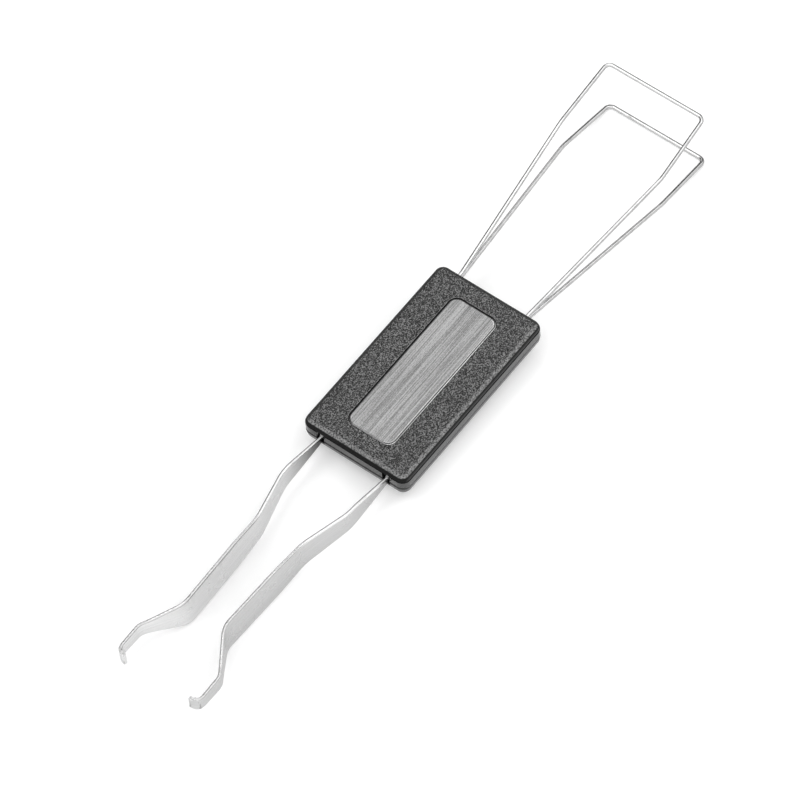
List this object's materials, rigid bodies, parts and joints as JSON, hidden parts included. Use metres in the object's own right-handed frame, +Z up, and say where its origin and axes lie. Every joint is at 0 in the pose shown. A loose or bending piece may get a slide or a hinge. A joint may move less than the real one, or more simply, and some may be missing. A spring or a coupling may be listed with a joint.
{
  "type": "keycap puller",
  "caption": "Two-ended keyboard puller: flat plastic handle with a metal inlay, wire loops at one end for keycaps and spring strip jaws at the other for key switches.",
  "frame": {"origin": "centre of the flat underside of the handle", "axes": "+X along the handle towards the wire loops, +Z up out of the face with the inlay"},
  "size_m": [0.1323, 0.0208, 0.0126],
  "materials": {
    "tray_plastic": "smooth satin",
    "cover_plastic": "fine moulded grain",
    "inlay_metal": "brushed along the length",
    "wire_steel": "bright drawn wire",
    "strip_steel": "bright rolled strip"
  },
  "bodies": {
    "root": {"lower_shell": "tray_plastic", "upper_shell": "cover_plastic", "inlay_plate": "inlay_metal", "upper_wire": "wire_steel", "lower_wire": "wire_steel", "left_jaw": "strip_steel", "right_jaw": "strip_steel"}
  },
  "joints": []
}
